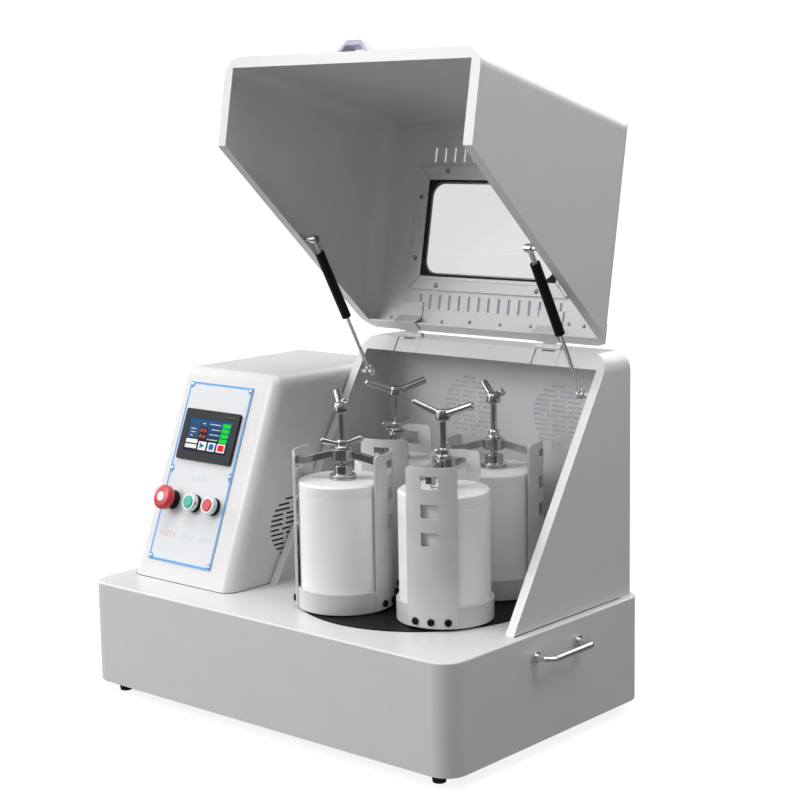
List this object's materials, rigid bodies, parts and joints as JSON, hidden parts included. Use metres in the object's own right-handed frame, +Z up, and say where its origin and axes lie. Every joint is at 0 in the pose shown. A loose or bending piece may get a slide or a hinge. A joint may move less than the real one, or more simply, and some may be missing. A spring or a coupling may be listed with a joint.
{
  "type": "planetary ball mill",
  "caption": "Bench-top planetary ball mill with clamped jars on a geared turntable, a hinged hood on gas struts with a window, and a sloping control box with a touch screen and buttons.",
  "frame": {"origin": "on the floor under the middle of the overall bounding box, which is the middle of the base", "axes": "+X to the operator's right along the base, +Y to the back of the mill, +Z up"},
  "size_m": [0.822, 0.47, 1.0182],
  "materials": {
    "case_paint": "semi-gloss light grey-white paint, fine texture",
    "panel_film": "matt printed front panel with a blue border",
    "holder_paint": "semi-gloss warm grey enamel",
    "black_paint": "satin black",
    "white_nylon": "smooth white nylon, slight sheen",
    "steel": "machined stainless, satin to polished",
    "chrome": "polished chrome",
    "window": "clear polished sheet",
    "rubber": "matt black rubber",
    "belt_rubber": "matt black belt",
    "black_plastic": "fine matt black moulding",
    "handle_plastic": "lilac grey, satin",
    "green_plastic": "glossy green cap",
    "red_plastic": "glossy red cap",
    "motor_iron": "painted dark grey casting",
    "zinc_plate": "plain zinc-plated sheet"
  },
  "bodies": {
    "base": {"base_cabinet": "case_paint", "base_plate": "zinc_plate", "rubber_feet": "rubber", "side_handles": "chrome", "power_inlet": "black_plastic", "rear_housing": "case_paint", "hinge_brackets": "steel", "control_box": "case_paint", "control_panel": "panel_film", "touch_screen": "black_plastic", "drive_motor": "motor_iron", "drive_belt": "belt_rubber", "spindle_housing": "motor_iron"},
    "lid": {"lid_hood": "case_paint", "hinge_straps": "case_paint", "lid_window": "window", "window_frame": "case_paint", "lid_handle": "handle_plastic"},
    "strut_left": {"strut_tube_left": "black_paint"},
    "strut_right": {"strut_tube_right": "black_paint"},
    "rod_left": {"strut_rod_left": "chrome"},
    "rod_right": {"strut_rod_right": "chrome"},
    "start_button": {"start_button": "green_plastic"},
    "stop_button": {"stop_button": "red_plastic"},
    "estop_button": {"estop_button": "red_plastic"},
    "motor_shaft": {"motor_pulley": "steel"},
    "turntable": {"turntable": "black_paint", "main_spindle": "steel"},
    "planet_1": {"planet_spindle_1": "steel", "jar_holder_1": "holder_paint", "grinding_jar_1": "white_nylon", "jar_lid_1": "white_nylon", "clamp_crossbar_1": "steel"},
    "pad_1": {"pressure_pad_1": "steel"},
    "screw_1": {"clamp_screw_1": "steel"},
    "nut_1": {"lock_nut_1": "steel"},
    "planet_2": {"planet_spindle_2": "steel", "jar_holder_2": "holder_paint", "grinding_jar_2": "white_nylon", "jar_lid_2": "white_nylon", "clamp_crossbar_2": "steel"},
    "pad_2": {"pressure_pad_2": "steel"},
    "screw_2": {"clamp_screw_2": "steel"},
    "nut_2": {"lock_nut_2": "steel"},
    "planet_3": {"planet_spindle_3": "steel", "jar_holder_3": "holder_paint", "grinding_jar_3": "white_nylon", "jar_lid_3": "white_nylon", "clamp_crossbar_3": "steel"},
    "pad_3": {"pressure_pad_3": "steel"},
    "screw_3": {"clamp_screw_3": "steel"},
    "nut_3": {"lock_nut_3": "steel"},
    "planet_4": {"planet_spindle_4": "steel", "jar_holder_4": "holder_paint", "grinding_jar_4": "white_nylon", "jar_lid_4": "white_nylon", "clamp_crossbar_4": "steel"},
    "pad_4": {"pressure_pad_4": "steel"},
    "screw_4": {"clamp_screw_4": "steel"},
    "nut_4": {"lock_nut_4": "steel"}
  },
  "joints": [
    {"name": "lid_hinge", "type": "hinge", "parent": "base", "child": "lid", "pos_m": [0.1195, 0.16798, 0.56], "axis": [1, 0, 0], "range_deg": [0, 100.5]},
    {"name": "strut_left_swing", "type": "hinge", "parent": "lid", "child": "strut_left", "pos_m": [-0.091, 0.00935, 0.72363], "axis": [1, 0, 0], "range_deg": [-0.5, 12.35]},
    {"name": "strut_left_stroke", "type": "slide", "parent": "strut_left", "child": "rod_left", "axis": [0, 0.4882, -0.8727], "range_m": [-0.09839, 0.0003]},
    {"name": "strut_right_swing", "type": "hinge", "parent": "lid", "child": "strut_right", "pos_m": [0.33, 0.00935, 0.72363], "axis": [1, 0, 0], "range_deg": [-0.5, 12.35]},
    {"name": "strut_right_stroke", "type": "slide", "parent": "strut_right", "child": "rod_right", "axis": [0, 0.4882, -0.8727], "range_m": [-0.09839, 0.0003]},
    {"name": "start_press", "type": "slide", "parent": "base", "child": "start_button", "axis": [0, 0.9311, -0.3649], "range_m": [0, 0.003], "stiffness_N_per_m": 500, "springref_m": -0.002},
    {"name": "stop_press", "type": "slide", "parent": "base", "child": "stop_button", "axis": [0, 0.9311, -0.3649], "range_m": [0, 0.003], "stiffness_N_per_m": 500, "springref_m": -0.002},
    {"name": "estop_press", "type": "slide", "parent": "base", "child": "estop_button", "axis": [0, 0.9311, -0.3649], "range_m": [0, 0.004], "stiffness_N_per_m": 800, "springref_m": -0.002},
    {"name": "turntable_spin", "type": "hinge", "parent": "base", "child": "turntable", "pos_m": [0.12, 0.0085, 0.1814], "axis": [0, 0, 1], "continuous": true},
    {"name": "motor_spin", "type": "hinge", "parent": "base", "child": "motor_shaft", "pos_m": [-0.24, 0.0085, 0.06], "axis": [0, 0, 1], "continuous": true},
    {"name": "planet_1_spin", "type": "hinge", "parent": "turntable", "child": "planet_1", "pos_m": [0.05552, -0.09271, 0.1814], "axis": [0, 0, 1], "continuous": true},
    {"name": "pad_1_lift", "type": "slide", "parent": "planet_1", "child": "pad_1", "axis": [0, 0, 1], "range_m": [0, 0.006]},
    {"name": "screw_1_turn", "type": "hinge", "parent": "pad_1", "child": "screw_1", "pos_m": [0.05552, -0.09271, 0.47], "axis": [0, 0, 1], "range_deg": [0, 1446.7]},
    {"name": "nut_1_turn", "type": "hinge", "parent": "planet_1", "child": "nut_1", "pos_m": [0.05552, -0.09271, 0.43], "axis": [0, 0, 1], "range_deg": [0, 180]},
    {"name": "planet_2_spin", "type": "hinge", "parent": "turntable", "child": "planet_2", "pos_m": [0.22121, -0.05598, 0.1814], "axis": [0, 0, 1], "continuous": true},
    {"name": "pad_2_lift", "type": "slide", "parent": "planet_2", "child": "pad_2", "axis": [0, 0, 1], "range_m": [0, 0.006]},
    {"name": "screw_2_turn", "type": "hinge", "parent": "pad_2", "child": "screw_2", "pos_m": [0.22121, -0.05598, 0.47], "axis": [0, 0, 1], "range_deg": [0, 1446.7]},
    {"name": "nut_2_turn", "type": "hinge", "parent": "planet_2", "child": "nut_2", "pos_m": [0.22121, -0.05598, 0.43], "axis": [0, 0, 1], "range_deg": [0, 180]},
    {"name": "planet_3_spin", "type": "hinge", "parent": "turntable", "child": "planet_3", "pos_m": [0.18448, 0.10971, 0.1814], "axis": [0, 0, 1], "continuous": true},
    {"name": "pad_3_lift", "type": "slide", "parent": "planet_3", "child": "pad_3", "axis": [0, 0, 1], "range_m": [0, 0.006]},
    {"name": "screw_3_turn", "type": "hinge", "parent": "pad_3", "child": "screw_3", "pos_m": [0.18448, 0.10971, 0.47], "axis": [0, 0, 1], "range_deg": [0, 1446.7]},
    {"name": "nut_3_turn", "type": "hinge", "parent": "planet_3", "child": "nut_3", "pos_m": [0.18448, 0.10971, 0.43], "axis": [0, 0, 1], "range_deg": [0, 180]},
    {"name": "planet_4_spin", "type": "hinge", "parent": "turntable", "child": "planet_4", "pos_m": [0.01879, 0.07298, 0.1814], "axis": [0, 0, 1], "continuous": true},
    {"name": "pad_4_lift", "type": "slide", "parent": "planet_4", "child": "pad_4", "axis": [0, 0, 1], "range_m": [0, 0.006]},
    {"name": "screw_4_turn", "type": "hinge", "parent": "pad_4", "child": "screw_4", "pos_m": [0.01879, 0.07298, 0.47], "axis": [0, 0, 1], "range_deg": [0, 1446.7]},
    {"name": "nut_4_turn", "type": "hinge", "parent": "planet_4", "child": "nut_4", "pos_m": [0.01879, 0.07298, 0.43], "axis": [0, 0, 1], "range_deg": [0, 180]}
  ],
  "couplings": [
    {"joint": "motor_spin", "follows": "turntable_spin", "ratio": 2.5},
    {"joint": "strut_left_swing", "follows": "lid_hinge", "ratio": 0.11796},
    {"joint": "strut_left_stroke", "follows": "lid_hinge", "m_per_rad": -0.055921},
    {"joint": "strut_right_swing", "follows": "lid_hinge", "ratio": 0.11796},
    {"joint": "strut_right_stroke", "follows": "lid_hinge", "m_per_rad": -0.055921},
    {"joint": "planet_1_spin", "follows": "turntable_spin", "ratio": 2.0769},
    {"joint": "screw_1_turn", "follows": "pad_1_lift", "rad_per_m": 4188.8},
    {"joint": "planet_2_spin", "follows": "turntable_spin", "ratio": 2.0769},
    {"joint": "screw_2_turn", "follows": "pad_2_lift", "rad_per_m": 4188.8},
    {"joint": "planet_3_spin", "follows": "turntable_spin", "ratio": 2.0769},
    {"joint": "screw_3_turn", "follows": "pad_3_lift", "rad_per_m": 4188.8},
    {"joint": "planet_4_spin", "follows": "turntable_spin", "ratio": 2.0769},
    {"joint": "screw_4_turn", "follows": "pad_4_lift", "rad_per_m": 4188.8}
  ]
}
